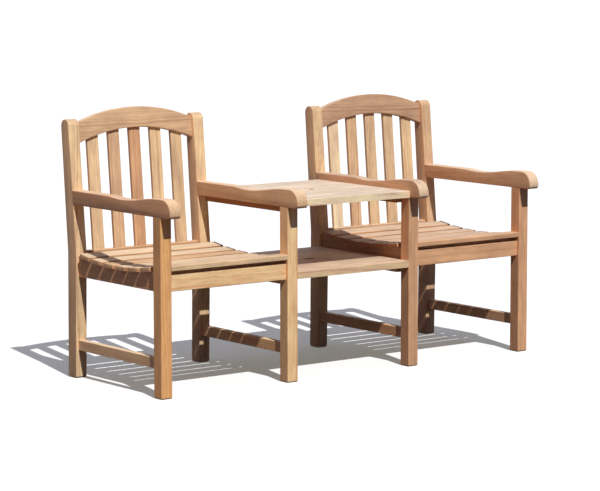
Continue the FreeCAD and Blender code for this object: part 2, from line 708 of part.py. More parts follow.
def new_back_body(label, chair):
    """A body that stands in the plane of the back, at the top of the rear rail."""
    place = (f"{chair} * {CHAIR_PLACE}", f"{FRONT_PLACE} + {post_front(REAR_RAIL_TOP)}", REAR_RAIL_TOP)
    return new_body(label, place, "back_angle")


def back_slat(label, chair, middle):
    """Back slat, housed in the rear rail and the crown rail."""
    body = new_back_body(label, chair)
    front_view = rectangle(
        f"{middle} - back_slat_width / 2", f"{middle} + back_slat_width / 2",
        "-back_slat_housing", slat_top(middle),
    )
    pad(body, "stock", "XZ_Plane", front_view, BACK_SLAT_FRONT, "back_slat_thickness")
    dress(body, "Chamfer", "eased_edges", "back_slat_ease", upright)


def seat_slat(label, chair, number):
    """Seat slat: drawn flat about the middle of its underside, then laid across the dish."""
    share = number / (SEAT_SLATS - 1)
    middle = f"({FIRST_SLAT_PLACE} + {share} * ({LAST_SLAT_PLACE} - {FIRST_SLAT_PLACE}))"
    tilt = f"asin(({middle} - seat_dish_place) / seat_dish_radius)"
    place = f"(seat_dish_place + {SLAT_SEAT_RADIUS} * sin({tilt}))"
    height = f"({DISH_CENTRE_HEIGHT} - {SLAT_SEAT_RADIUS} * cos({tilt}))"
    body = new_body(label, (f"{chair} * {CHAIR_PLACE}", f"{FRONT_PLACE} + {place}", height), f"-{tilt}")
    outline = rectangle("-seat_slat_width / 2", "seat_slat_width / 2", "0", "seat_slat_thickness")
    pad_both_ways(body, "stock", "YZ_Plane", outline, "chair_width")
    top = value("seat_slat_thickness") - TINY
    dress(body, "Fillet", "rounded_edges", "slat_round", lambda box: box.ZMin > top)


def chair_pieces(name, chair):
    """Every piece of one chair."""
    for side, end in ((chair, "outer"), (-chair, "inner")):
        front_leg(f"{name}_{end}_front_leg", chair, side)
        rear_post(f"{name}_{end}_rear_post", chair, side)
        arm(f"{name}_{end}_arm", chair, side)
        side_rail(f"{name}_{end}_side_rail", chair, side)
        stretcher(f"{name}_{end}_stretcher", chair, side)
    front_apron(f"{name}_front_apron", chair)
    front_batten(f"{name}_front_batten", chair)
    rear_rail(f"{name}_rear_rail", chair)
    crown_rail(f"{name}_crown_rail", chair)
    for number, middle in enumerate(slat_middles(), start=1):
        back_slat(f"{name}_back_slat_{number}", chair, middle)
    front_slat(f"{name}_front_seat_slat", chair)
    for number in range(SEAT_SLATS):
        seat_slat(f"{name}_seat_slat_{number + 1}", chair, number)


# Table top, shelf and their cleats. "side" is -1 at the left chair and 1 at the right chair.

def board(label, front, rear, low, thickness):
    """Table top or shelf, with the parasol hole, which is in the middle of the table top."""
    body = new_body(label, ("0", FRONT_PLACE, "0"))
    outline = rectangle("-table_width / 2", "table_width / 2", front, rear)
    pad(body, "stock", "XY_Plane", outline, low, thickness)
    top = value(f"{low} + {thickness}") - TINY
    dress(body, "Fillet", "rounded_edges", "board_round", lambda box: box.ZMin > top)
    centre = ("0", "(chair_depth + table_rear_lap - table_overhang) / 2")
    start = f"{low} - cut_reach"
    drill(body, "parasol_hole", centre, "parasol_radius", start, f"2 * cut_reach + {thickness}")


def cleat(label, side, top, hold):
    """Flat cleat under a chair and under the table top or shelf, that holds a width of the chair."""
    body = new_body(label, ("0", FRONT_PLACE, "0"))
    outline = rectangle(
        "leg_depth + cleat_gap", "chair_depth - cleat_rear_gap", f"{top} - cleat_thickness", top
    )
    outer = f"(table_width / 2 + {hold})"
    start, length = outwards(side, f"{outer} - cleat_width", outer)
    pad(body, "stock", "YZ_Plane", outline, start, length)
    dress(body, "Chamfer", "eased_edges", "edge_ease", lengthwise)


chair_pieces("left_chair", -1)
chair_pieces("right_chair", 1)
board("table_top", "-table_overhang", "chair_depth + table_rear_lap", "arm_height", "table_thickness")
board("shelf", "0", "chair_depth + shelf_rear_lap", "rail_height", "shelf_thickness")
for name, side in (("left", -1), ("right", 1)):
    cleat(f"{name}_table_cleat", side, "arm_height", "cleat_width / 2")
    cleat(f"{name}_shelf_cleat", side, "rail_height", "side_rail_setback + side_rail_thickness")

doc.recompute()
bodies = [item for item in doc.Objects if item.TypeId == "PartDesign::Body"]
for item in doc.Objects:
    if {"Invalid", "Error"} & set(item.State):
        raise ValueError(f"{item.Label} failed: {item.State}")
os.makedirs("parts", exist_ok=True)
for piece in bodies:
    if piece.Shape.isNull() or not piece.Shape.isValid():
        raise ValueError(f"{piece.Label} has no valid shape")
    piece.Shape.exportStep(f"parts/{piece.Label}.step")
print(len(bodies), "pieces")
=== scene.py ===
# %% [markdown]
# # A companion seat bench in teak
#
# Two slatted armchairs share a table top at arm height and a shelf at seat height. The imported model
# brings every board at its real size. This lesson gives each board its grain, makes the curved boards
# again with smooth faces, and sets the camera, the sun and the floor.

# %% The frame
import math
import random

import bpy
import numpy as np
from mathutils import Matrix, Vector


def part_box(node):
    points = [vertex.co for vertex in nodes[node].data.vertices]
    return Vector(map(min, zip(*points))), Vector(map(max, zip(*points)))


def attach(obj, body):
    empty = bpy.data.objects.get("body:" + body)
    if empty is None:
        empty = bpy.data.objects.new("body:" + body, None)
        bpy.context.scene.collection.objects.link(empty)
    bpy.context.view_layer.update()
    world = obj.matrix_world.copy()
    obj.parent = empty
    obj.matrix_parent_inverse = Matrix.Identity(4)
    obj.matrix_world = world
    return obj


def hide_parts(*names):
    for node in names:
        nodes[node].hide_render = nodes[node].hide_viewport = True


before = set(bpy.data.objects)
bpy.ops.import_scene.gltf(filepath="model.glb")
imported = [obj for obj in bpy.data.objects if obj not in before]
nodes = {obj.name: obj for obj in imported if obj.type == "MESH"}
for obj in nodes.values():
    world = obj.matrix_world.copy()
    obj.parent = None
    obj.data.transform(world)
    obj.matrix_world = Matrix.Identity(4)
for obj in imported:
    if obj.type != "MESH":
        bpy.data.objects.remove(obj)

MM = 0.001
scene = bpy.context.scene
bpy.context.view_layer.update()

# %% [markdown]
# ## Camera
#
# The bench is seen from its left and from a little above the arms, through a long lens. The lens and
# the place were worked out from the straight edges of the bench, which leaves nothing to tune by eye.
# The camera's three axes come from a turn to the left, a tilt down and a slight roll, and they are the
# columns of its matrix. Its place is counted from a point between the inner front legs.

# %% Camera
IMAGE_WIDTH = 600
FOCAL_PIXELS = 2570.8
SENSOR_WIDTH = 36
TURN, TILT, ROLL = np.radians([37.43, 7.08, -0.07])
AIM = Vector((-199.8, -268.0, 400.0)) * MM
DISTANCE = 8658.4 * MM
LEFT_OF_AIM = 26.64 * MM
ABOVE_AIM = 60 * MM

forward = Vector((math.sin(TURN) * math.cos(TILT), math.cos(TURN) * math.cos(TILT), -math.sin(TILT)))
level = Vector((math.cos(TURN), -math.sin(TURN), 0))
above = level.cross(forward)
right = math.cos(ROLL) * level + math.sin(ROLL) * above
up = math.cos(ROLL) * above - math.sin(ROLL) * level

lens = bpy.data.cameras.new("camera")
lens.sensor_width = SENSOR_WIDTH
lens.lens = SENSOR_WIDTH * FOCAL_PIXELS / IMAGE_WIDTH
lens.clip_end = 100
camera = bpy.data.objects.new("camera", lens)
scene.collection.objects.link(camera)
place = AIM - DISTANCE * forward - LEFT_OF_AIM * right + ABOVE_AIM * up
camera.matrix_world = Matrix.Translation(place) @ Matrix((right, up, -forward)).transposed().to_4x4()
scene.camera = camera
print("lens", round(lens.lens, 1), "mm, camera at", tuple(round(c, 3) for c in place))

# %% [markdown]
# ## Colours and nodes
#
# Paint and wood colours are read off charts as sRGB hex values, but a shader works on linear light, so
# one function turns the one into the other. A second small function adds a node to a material, sets
# what it is given, and links its inputs. It keeps the materials below short enough to read. A third
# hands over an empty tree to fill.

# %% Three helpers
def linear(code):
    """Linear red, green, blue and alpha of an sRGB hex colour: ((c + 0.055) / 1.055) ^ 2.4, or c / 12.92."""
    parts = [int(code[place:place + 2], 16) / 255 for place in (0, 2, 4)]
    return (*[c / 12.92 if c <= 0.04045 else ((c + 0.055) / 1.055) ** 2.4 for c in parts], 1.0)


def add(tree, kind, settings=None, **inputs):
    """A new node with its settings. An input gets a value, or a link from an output or a node's first one."""
    node = tree.nodes.new(kind)
    for name, setting in (settings or {}).items():
        setattr(node, name, setting)
    for name, given in inputs.items():
        if name.startswith("_"):
            socket = node.inputs[int(name[1:])]
        else:
            socket = next(s for s in node.inputs if s.enabled and s.name == name.replace("_", " "))
        if isinstance(given, bpy.types.Node):
            given = next(s for s in given.outputs if s.enabled)
        if isinstance(given, bpy.types.NodeSocket):
            tree.links.new(given, socket)
        else:
            socket.default_value = given
    return node


def empty_tree(owner):
    """The node tree of a new material or world, with nothing in it."""
    owner.use_nodes = True
    owner.node_tree.nodes.clear()
    return owner.node_tree


print("pale teak in linear light:", tuple(round(c, 3) for c in linear("d9b384")[:3]))

# %% [markdown]
# ## Sun
#
# The bench stands in sunlight that comes over the left shoulder of someone who faces it, halfway up the
# sky. One sun lamp gives that light. Its disc is as wide as the real sun's, so the light that falls
# between two slats still draws a thin line on the boards below.

# %% Sun
SUN_HEIGHT = math.radians(53.5)
SUN_TURN = math.radians(14.1)
SUN_DISC = math.radians(0.53)
SUN_STRENGTH = 3.55

to_sun = Vector((
    -math.cos(SUN_HEIGHT) * math.sin(SUN_TURN),
    -math.cos(SUN_HEIGHT) * math.cos(SUN_TURN),
    math.sin(SUN_HEIGHT),
))
sun = bpy.data.objects.new("sun", bpy.data.lights.new("sun", "SUN"))
sun.data.energy = SUN_STRENGTH
sun.data.angle = SUN_DISC
sun.rotation_euler = to_sun.to_track_quat("Z", "Y").to_euler()
scene.collection.objects.link(sun)
print("sun from", tuple(round(c, 2) for c in to_sun))

# %% [markdown]
# ## Sky
#
# A soft sky fills the shadows to about a sixth. It is a dull lilac grey near the horizon and grows with
# the square of the height to a pale blue overhead, which lifts and cools the shadows on the seats. That
# is its light alone. The camera, a gloss and a clear pane all see it white. Sky and floor tell the two
# cases apart in the same way, so one function does it.

# %% Sky
SKY_STRENGTH = 0.49


def looked_at(tree):
    """1 for a ray that looks, from the camera or by way of gloss or glass, and 0 for one that lights."""
    ray = add(tree, "ShaderNodeLightPath").outputs
    seen = ray["Is Camera Ray"]
    for other in ("Is Glossy Ray", "Is Transmission Ray"):
        seen = add(tree, "ShaderNodeMath", {"operation": "MAXIMUM"}, _0=seen, _1=ray[other])
    return seen


sky = bpy.data.worlds.new("sky")
tree = empty_tree(sky)
way_there = add(tree, "ShaderNodeTexCoord").outputs["Generated"]
height = add(tree, "ShaderNodeSeparateXYZ", Vector=way_there).outputs["Z"]
overhead = add(tree, "ShaderNodeMath", {"operation": "MULTIPLY"}, _0=height, _1=height)
tint = add(tree, "ShaderNodeMix", {"data_type": "RGBA"}, Factor=overhead,
           A=linear("676479"), B=linear("d6d9ff"))
soft = add(tree, "ShaderNodeBackground", Color=tint, Strength=SKY_STRENGTH)
white = add(tree, "ShaderNodeBackground", Color=(1, 1, 1, 1), Strength=1.0)
mixed = add(tree, "ShaderNodeMixShader", _0=looked_at(tree), _1=soft, _2=white)
add(tree, "ShaderNodeOutputWorld", Surface=mixed)
scene.world = sky
scene.view_settings.view_transform = "Standard"
print("sky of strength", SKY_STRENGTH)

# %% [markdown]
# ## Floor
#
# The floor is plain. Seen it is white, with a little warm light of its own that keeps the shadows on it a
# mid grey. For the light that bounces off it, it is a dull grey, so that it hardly lights the boards from
# below.

# %% Floor
FLOOR_REACH = 40
OWN_LIGHT = 0.15

floor_material = bpy.data.materials.new("matt_white_floor")
tree = empty_tree(floor_material)
pale = add(tree, "ShaderNodeBsdfDiffuse", Color=linear("ffffff"))
glow = add(tree, "ShaderNodeEmission", Color=linear("ffffe2"), Strength=1.0)
lifted = add(tree, "ShaderNodeMixShader", _0=OWN_LIGHT, _1=pale, _2=glow)
grey = add(tree, "ShaderNodeBsdfDiffuse", Color=linear("3e3a3c"))
mixed = add(tree, "ShaderNodeMixShader", _0=looked_at(tree), _1=grey, _2=lifted)
add(tree, "ShaderNodeOutputMaterial", Surface=mixed)

floor_mesh = bpy.data.meshes.new("floor")
corners = [(x * FLOOR_REACH, y * FLOOR_REACH, 0) for x, y in ((-1, -1), (1, -1), (1, 1), (-1, 1))]
floor_mesh.from_pydata(corners, [], [(0, 1, 2, 3)])
floor_mesh.materials.append(floor_material)
floor = bpy.data.objects.new("floor", floor_mesh)
scene.collection.objects.link(floor)
print("floor", 2 * FLOOR_REACH, "m across")

# %% [markdown]
# ## Teak
#
# The bench is new plantation teak, planed and sanded and left without oil. Such wood is a warm straw
# brown with fine, nearly straight lines along each board, where the saw met the yearly rings of the
# tree, and with short dark pores. A flat picture of wood would wrap round the edges of a board. Real
# grain doesn't: it goes through. So the pattern here is a solid one. Each board imagines the trunk that
# it was sawn from: the pith is a line beside the board, roughly along its length, and the rings are
# cylinders round the pith. A face that cuts them along the trunk shows lines or flames, and an end
# shows arcs, with no more work.
#
# A Mapping node of the kind Texture brings a point of the board into the trunk's frame. It takes off
# the place of the pith, turns the trunk's length to Z, and divides that length by eight, so that every
# noise after it is drawn out along the grain. The pith passes 50 to 130 mm from the board's middle and
# slants by up to 2 degrees, as the luck of the saw has it, and a back slat's pith leans with the back.

# %% The trunk beside a board
GRAIN = {
    "x": (0.0, math.pi / 2, 0.0),
    "y": (-math.pi / 2, 0.0, 0.0),
    "z": (0.0, 0.0, 0.0),
}
BACK_LEAN = math.radians(5.3)
DRAWN_OUT = 8.0
PITH_AWAY = (50, 130)
PITH_SLIDE = 0.4
PITH_SLANT = math.radians(2.0)


def trunk_of(middle, along, luck, lean=0.0):
    """Pith and turn of the trunk. The pith is the board's middle plus a way to the side and one along."""
    bearing = luck.uniform(0, 2 * math.pi)
    distance = luck.uniform(*PITH_AWAY) * MM
    sideways = [distance * math.cos(bearing), distance * math.sin(bearing)]
    sideways.insert("xyz".index(along), luck.uniform(-PITH_SLIDE, PITH_SLIDE))
    turn = [angle + luck.uniform(-1, 1) * PITH_SLANT for angle in GRAIN[along]]
    turn[0] -= lean
    return [m + s for m, s in zip(middle, sideways)], turn


print("a pith beside a leg at 0, 0, 0:", [round(c, 3) for c in trunk_of((0, 0, 0), "z", random.Random(0))[0]])

# %% [markdown]
# The colour is built up as the eye finds it. First come patches 40 mm wide and 130 mm long and the bands
# of good and bad years, then the dark line that ends a year, then the streaks of the fibres and the
# pores. Bands are about 12 mm wide and years 4 to 7 mm. Real pores are 0.3 mm wide and would not show in
# a picture of the whole bench, so they are drawn 1.5 mm wide and some 60 mm long.

# %% Rings and fibres
WANDER_WIDTH = 45 * MM
WANDER = 24 * MM
BAND = 12 * MM
YEAR = (4, 7)
YEAR_LINE = 0.28
PATCH = 40 * MM
STREAK = 4 * MM
PORE = 1.5 * MM
PATCH_DRAWN_OUT = 3.2
FIBRE_DRAWN_OUT = 40.0


def rings(tree, trunk, luck):
    """Bands of good and bad years, and the dark lines between years, from 0 to a seventh or so.

    The way from the pith is the length of (x, y). A slow noise of some 8 mm is added, which makes the
    years wander. Bands are a noise of that way alone, and a year's line is its remainder over the year."""
    slow = add(tree, "ShaderNodeTexNoise", Vector=trunk, Scale=1 / WANDER_WIDTH, Detail=3.0, Roughness=0.6)
    flat = add(tree, "ShaderNodeVectorMath", {"operation": "MULTIPLY"}, _0=trunk, _1=(1, 1, 0))
    radius = add(tree, "ShaderNodeVectorMath", {"operation": "LENGTH"}, _0=flat).outputs["Value"]
    way = add(tree, "ShaderNodeMath", {"operation": "MULTIPLY_ADD"}, _0=slow, _1=WANDER, _2=radius)
    bands = add(tree, "ShaderNodeTexNoise", {"noise_dimensions": "1D"}, W=way, Scale=1 / BAND, Detail=2.0)
    years = add(tree, "ShaderNodeMath", {"operation": "DIVIDE"}, _0=way, _1=luck.uniform(*YEAR) * MM)
    years = add(tree, "ShaderNodeMath", {"operation": "FRACT"}, _0=years)
    strong = add(tree, "ShaderNodeMath", {"operation": "MULTIPLY"}, _0=slow, _1=YEAR_LINE)
    lines = add(tree, "ShaderNodeMapRange", {"interpolation_type": "SMOOTHSTEP"}, Value=years,
                From_Min=0.5, From_Max=1.0, To_Max=strong)
    return bands, lines


def fibres(tree, trunk):
    """Patches, streaks and pores, from 0 to 1. Each is a noise with its own width and its own stretch."""
    broad = add(tree, "ShaderNodeMapping", Vector=trunk, Scale=(1, 1, DRAWN_OUT / PATCH_DRAWN_OUT))
    fine = add(tree, "ShaderNodeMapping", Vector=trunk, Scale=(1, 1, DRAWN_OUT / FIBRE_DRAWN_OUT))
    patches = add(tree, "ShaderNodeTexNoise", Vector=broad, Scale=1 / PATCH, Detail=3.0, Roughness=0.6)
    streaks = add(tree, "ShaderNodeTexNoise", Vector=fine, Scale=1 / STREAK, Detail=3.0, Roughness=0.6)
    pores = add(tree, "ShaderNodeTexNoise", Vector=fine, Scale=1 / PORE, Detail=1.0)
    return patches, streaks, pores


print("pores", round(PORE * FIBRE_DRAWN_OUT / MM), "mm long, patches", round(PATCH * PATCH_DRAWN_OUT / MM))

# %% [markdown]
# A tone is three colours of one wood. Patches and bands run between its pale and its middle colour, and
# the worst years and the lines between years go towards its dark one. Streaks, pores and patches then
# shade that colour, each by about a tenth.

# %% The colour along a board
def shaded(tree, shade, patches, streaks, pores):
    """The product of a plank's shade and of those of streaks, pores and patches, and the pores' alone."""
    fibre = add(tree, "ShaderNodeMapRange", Value=streaks, From_Min=0.3, From_Max=0.7,
                To_Min=0.88, To_Max=1.09)
    pore = add(tree, "ShaderNodeMapRange", {"interpolation_type": "SMOOTHSTEP"}, Value=pores,
               From_Min=0.30, From_Max=0.42, To_Min=0.86, To_Max=1.0)
    patch = add(tree, "ShaderNodeMapRange", Value=patches, From_Min=0.3, From_Max=0.7,
                To_Min=1.13, To_Max=0.86)
    for layer in (fibre, pore, patch):
        shade = add(tree, "ShaderNodeMath", {"operation": "MULTIPLY"}, _0=layer, _1=shade)
    return shade, pore


def ringed(tree, tone, patches, bands, lines):
    """Pale to middle by the sum of patch and band, then to dark by the greater of band and line."""
    pale, mid, dark = (linear(code) for code in tone)
    both = add(tree, "ShaderNodeMath", {"operation": "ADD"}, _0=patches, _1=bands)
    both = add(tree, "ShaderNodeMapRange", {"interpolation_type": "SMOOTHSTEP"}, Value=both,
               From_Min=0.75, From_Max=1.25)
    ground = add(tree, "ShaderNodeMix", {"data_type": "RGBA"}, Factor=both, A=pale, B=mid)
    banded = add(tree, "ShaderNodeMapRange", Value=bands, From_Min=0.5, From_Max=0.75, To_Max=0.55)
    dim = add(tree, "ShaderNodeMath", {"operation": "MAXIMUM"}, _0=banded, _1=lines)
    return add(tree, "ShaderNodeMix", {"data_type": "RGBA"}, Factor=dim, A=ground, B=dark)


# %% [markdown]
# Where the saw went across the trunk, the fibres are seen end on as specks. Such an end drinks light and
# is darker, but the sanded nose of an arm is pale and finely mottled, and a slat's rough end sparkles in
# relief where the sun grazes it. The seat slats' ends are painted too: pale on the left seat, a painted
# sunlight, and dark on the right one, a painted shade. Faces that look up are painted paler, a painted
# top light, with their streaks still in them, and the boards' sides are painted redder, a painted warm
# bounce light. The face's normal tells the three apart.

# %% Ends, painted top light and painted side light
SPECK = 3 * MM
# Painted warm bounce light, mixed into the boards' sides.
PAINTED_BOUNCE_RED = "f4a470"


def sawn_ends(tree, body, normal, along, specks, ends):
    """The colour with the sawn ends in it, and how much a face is such an end, by the normal's slant."""
    endwise = add(tree, "ShaderNodeMath", {"operation": "ABSOLUTE"}, _0=normal["xyz".index(along)])
    across = add(tree, "ShaderNodeMapRange", {"interpolation_type": "SMOOTHSTEP"}, Value=endwise,
                 From_Min=0.4, From_Max=0.9, To_Max=0.93)
    speck = add(tree, "ShaderNodeMapRange", Value=specks, From_Min=0.35, From_Max=0.65)
    sawn = add(tree, "ShaderNodeMix", {"data_type": "RGBA"}, Factor=speck,
               A=linear(ends[0]), B=linear(ends[1]))
    return add(tree, "ShaderNodeMix", {"data_type": "RGBA"}, Factor=across, A=body, B=sawn), across


def painted_top_and_side_light(tree, body, normal, shade, top_light):
    """The colour with painted top light, by the normal's height, and painted bounce light on the sides."""
    top_light_mask = add(tree, "ShaderNodeMapRange", {"interpolation_type": "SMOOTHSTEP"}, Value=normal["Z"],
                 From_Min=0.5, From_Max=0.95, To_Max=top_light[0])
    top_light_colour = add(tree, "ShaderNodeVectorMath", {"operation": "SCALE"}, _0=linear(top_light[1])[:3], Scale=shade)
    top_lit = add(tree, "ShaderNodeMix", {"data_type": "RGBA"}, Factor=top_light_mask, A=body, B=top_light_colour)
    sideways = add(tree, "ShaderNodeMath", {"operation": "ABSOLUTE"}, _0=normal["X"])
    painted_bounce_mask = add(tree, "ShaderNodeMapRange", Value=sideways, From_Min=0.7, From_Max=0.95, To_Max=0.3)
    return add(tree, "ShaderNodeMix", {"data_type": "RGBA"}, Factor=painted_bounce_mask, A=top_lit, B=linear(PAINTED_BOUNCE_RED))


# %% [markdown]
# The table top and the shelf are each glued up from five planks that run from chair to chair. Every
# plank came from another part of the tree, so its pattern jumps at the joint and its shade is its own.
# The glue line is far thinner than a picture of the whole bench could show. Here it is a soft line a
# little over 1 mm wide.

# %% Glued planks
GLUED = ("table_top", "shelf")
PLANKS = 5
GLUE_LINE = 1.2 * MM


def glued_planks(tree, place, front, rear):
    """Shifts each plank to its own part of the trunk, and gives the shade of plank and glue line.

    The plank's number is the whole part of the way across, in planks. A fixed white noise on that number
    gives the plank's luck. The way to the nearest joint is the wrapped distance, which the outer half of
    the first and the last plank leaves at its greatest."""
    across = add(tree, "ShaderNodeSeparateXYZ", Vector=place).outputs[1]
    way = add(tree, "ShaderNodeMapRange", {"clamp": False}, Value=across,
              From_Min=front, From_Max=rear, To_Max=float(PLANKS))
    number = add(tree, "ShaderNodeMath", {"operation": "FLOOR"}, _0=way)
    luck = add(tree, "ShaderNodeTexWhiteNoise", {"noise_dimensions": "1D"}, W=number)
    shift = add(tree, "ShaderNodeVectorMath", {"operation": "SCALE"}, _0=luck.outputs["Color"], Scale=0.3)
    moved = add(tree, "ShaderNodeVectorMath", {"operation": "ADD"}, _0=place, _1=shift)
    between = add(tree, "ShaderNodeClamp", Value=way, Min=0.5, Max=PLANKS - 0.5)
    joint = add(tree, "ShaderNodeMath", {"operation": "PINGPONG"}, _0=between, _1=0.5)
    seam = add(tree, "ShaderNodeMapRange", {"interpolation_type": "SMOOTHSTEP"}, Value=joint,
               From_Min=0.0, From_Max=GLUE_LINE * PLANKS / (rear - front), To_Min=0.62, To_Max=1.0)
    plank = add(tree, "ShaderNodeMapRange", Value=luck.outputs["Value"], To_Min=0.93, To_Max=1.06)
    return moved, add(tree, "ShaderNodeMath", {"operation": "MULTIPLY"}, _0=seam, _1=plank)


for name in GLUED:
    low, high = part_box(name)
    print(name, "planks:", round((high.y - low.y) / PLANKS / MM), "mm wide")


# %% [markdown]
# The parts come together in one material. Sanded teak without oil is nearly matt, a little less so on the
# table and the shelf, which are sanded finer. Its streaks and pores stand in a shallow relief, and on a
# rough end the specks do.

# %% The material
SANDED_GLOSS = 0.25
FINER_GLOSS = 0.5
RELIEF = 0.15 * MM


def teak(name, box, along, luck, tone, ends, lean, planks, top_light):
    """Sanded, unoiled teak for one board. Tone is the shade's three colours: pale, middle and dark.

    Ends are the two colours of the sawn ends and how rough they are. The last argument gives how far
    the faces that look up are painted paler, a painted top light, and to which colour."""
    material = bpy.data.materials.new(name)
    tree = empty_tree(material)
    low, high = box
    spot = add(tree, "ShaderNodeTexCoord")
    pith, turn = trunk_of((low + high) / 2, along, luck, lean)
    place, shade = spot.outputs["Object"], 1.0
    if planks:
        place, shade = glued_planks(tree, place, low.y, high.y)
    trunk = add(tree, "ShaderNodeMapping", {"vector_type": "TEXTURE"}, Vector=place, Location=pith,
                Rotation=turn, Scale=(1, 1, DRAWN_OUT))
    normal = add(tree, "ShaderNodeSeparateXYZ", Vector=spot.outputs["Normal"]).outputs
    bands, lines = rings(tree, trunk, luck)
    patches, streaks, pores = fibres(tree, trunk)
    specks = add(tree, "ShaderNodeTexNoise", Vector=place, Scale=1 / SPECK, Detail=2.0)

    shade, pore = shaded(tree, shade, patches, streaks, pores)
    colour = ringed(tree, tone, patches, bands, lines)
    colour = add(tree, "ShaderNodeVectorMath", {"operation": "SCALE"}, _0=colour, Scale=shade)
    colour, across = sawn_ends(tree, colour, normal, along, specks, ends)
    colour = painted_top_and_side_light(tree, colour, normal, shade, top_light)

    rough = add(tree, "ShaderNodeMapRange", Value=streaks, From_Min=0.3, From_Max=0.7,
                To_Min=0.68, To_Max=0.55)
    relief = add(tree, "ShaderNodeMath", {"operation": "MULTIPLY_ADD"}, _0=streaks, _1=0.5, _2=pore)
    if ends[2]:
        fuzz = add(tree, "ShaderNodeMath", {"operation": "MULTIPLY"}, _0=across, _1=ends[2])
        relief = add(tree, "ShaderNodeMath", {"operation": "MULTIPLY_ADD"}, _0=specks, _1=fuzz, _2=relief)
    bump = add(tree, "ShaderNodeBump", Strength=0.4, Distance=RELIEF, Height=relief)
    wood = add(tree, "ShaderNodeBsdfPrincipled", Base_Color=colour, Roughness=rough, IOR=1.45,
               Specular_IOR_Level=FINER_GLOSS if planks else SANDED_GLOSS, Normal=bump)
    add(tree, "ShaderNodeOutputMaterial", Surface=wood)
    return material


# %% [markdown]
# ## A shade for every board
#
# A bench is never one even colour, because its boards come from many trees. The boards that the eye
# compares, such as the back slats side by side, get their shade from a list, and the others draw theirs
# from a seeded shuffle, which gives the same bench at every run.

# %% Tones
TONES = {
    "butter": ("fcd8a0", "fcc892", "d69b62"),
    "cream": ("fbe4b9", "f3d7b3", "c59971"),
    "straw": ("f3d2a0", "ebc69c", "c08d61"),
    "golden": ("fbc07c", "f3b479", "c6804b"),
    "sand": ("e5c597", "deb993", "b5835c"),
    "honey": ("e1bb90", "dab18c", "b17d57"),
    "peach": ("e7b385", "dfaa81", "b6784f"),
    "rose": ("deae82", "d7a57e", "af744e"),
    "dusky": ("caa480", "c39a7d", "9e6d4d"),
    # Dark tone of the seat slats, painted shade: below their painted top light it stays on their fronts.
    "chestnut": ("c89468", "be8a62", "94603c"),
    # The right chair's inner side rail is given this dark brown as painted shade.
    "brown": ("877462", "7d6856", "644634"),
    # The table cleats are given this umber as painted shade.
    "umber": ("7a4418", "753f17", "5e3010"),
}
SHUFFLED = ["sand", "honey", "rose"]
TONE_BY_HAND = {
    "left_chair_back_slat_1": "straw", "left_chair_back_slat_2": "honey", "left_chair_back_slat_3": "rose",
    "left_chair_back_slat_4": "straw", "left_chair_back_slat_5": "sand", "left_chair_crown_rail": "honey",
    "left_chair_outer_rear_post": "straw", "left_chair_inner_rear_post": "straw",
    "left_chair_outer_arm": "rose", "left_chair_inner_arm": "sand",
    "left_chair_outer_front_leg": "golden", "left_chair_inner_front_leg": "butter",
    "left_chair_front_apron": "butter", "left_chair_front_seat_slat": "sand",
    "left_chair_outer_side_rail": "rose", "left_chair_outer_stretcher": "straw",
    "left_chair_inner_stretcher": "butter", "left_chair_front_batten": "butter",
    "right_chair_back_slat_1": "cream", "right_chair_back_slat_2": "honey", "right_chair_back_slat_3": "sand",
    "right_chair_back_slat_4": "sand", "right_chair_back_slat_5": "straw", "right_chair_crown_rail": "dusky",
    "right_chair_outer_rear_post": "honey", "right_chair_inner_rear_post": "sand",
    "right_chair_outer_arm": "honey", "right_chair_inner_arm": "dusky",
    "right_chair_outer_front_leg": "peach", "right_chair_inner_front_leg": "rose",
    "right_chair_front_apron": "peach", "right_chair_front_seat_slat": "rose",
    "right_chair_front_batten": "butter",
    # The inner side rail's brown is painted shade.
    "right_chair_inner_side_rail": "brown", "right_chair_outer_stretcher": "honey",
    "right_chair_inner_stretcher": "rose",
    # The table cleats' umber is painted shade.
    "table_top": "cream", "shelf": "sand", "left_table_cleat": "umber", "right_table_cleat": "umber",
}
print(len(TONES), "tones,", len(TONE_BY_HAND), "boards by hand")

# %% [markdown]
# The faces that look up are painted paler, a painted top light: the seats most, the left one above all.
# On the seat slats it lies over a dark tone, which stays on their fronts as painted shade between the
# slats. The table top gets less of it, and the shelf, which the table shades, less again. A batten, in
# the dark, gets none. The first table holds how far a board is painted paler, and to which colour. SAWN
# holds the two colours of its ends and how rough they are. The left seat's slat ends are painted pale, a
# painted sunlight, and the right seat's nearly as dark as the rail below them, a painted shade.

# %% Painted top light and sawn ends
# Painted top light: how far the faces that look up are painted paler, and to which colour.
PAINTED_TOP_LIGHT = (0.4, "ead0b2")
PAINTED_TOP_LIGHT_BY_HAND = {
    "left_chair_seat_slat_4": (0.85, "d5b289"),
    "left_chair_seat_slat": (0.85, "e1cba9"),
    "right_chair_seat_slat": (0.85, "d3b89c"),
    "front_seat_slat": (0.4, "c6ab90"),
    "table_top": (0.6, "d1bfaf"),
    "shelf": (0.5, "d1b8a6"),
    "front_batten": (0.0, "c6ab90"),
}
SAWN = ("b08458", "d0a678", 0.0)
SAWN_AND_PAINTED_ENDS = {
    "left_chair_outer_arm": ("c69c70", "e6c6a0", 4.0),
    "left_chair_inner_arm": ("c69c70", "e6c6a0", 4.0),
    "right_chair_outer_arm": ("d2ae88", "f0d6b6", 2.0),
    "right_chair_inner_arm": ("d2ae88", "f0d6b6", 2.0),
    # Seat slat ends: the left painted pale as painted sunlight, the right painted dark as painted shade.
    "left_chair_seat_slat": ("dc9c58", "fce0b4", 12.0),
    "right_chair_seat_slat": ("402c26", "54382e", 4.0),
}


def by_hand(name, table, otherwise):
    """The table's first entry whose key is in the board's name."""
    return next((entry for part, entry in table.items() if part in name), otherwise)


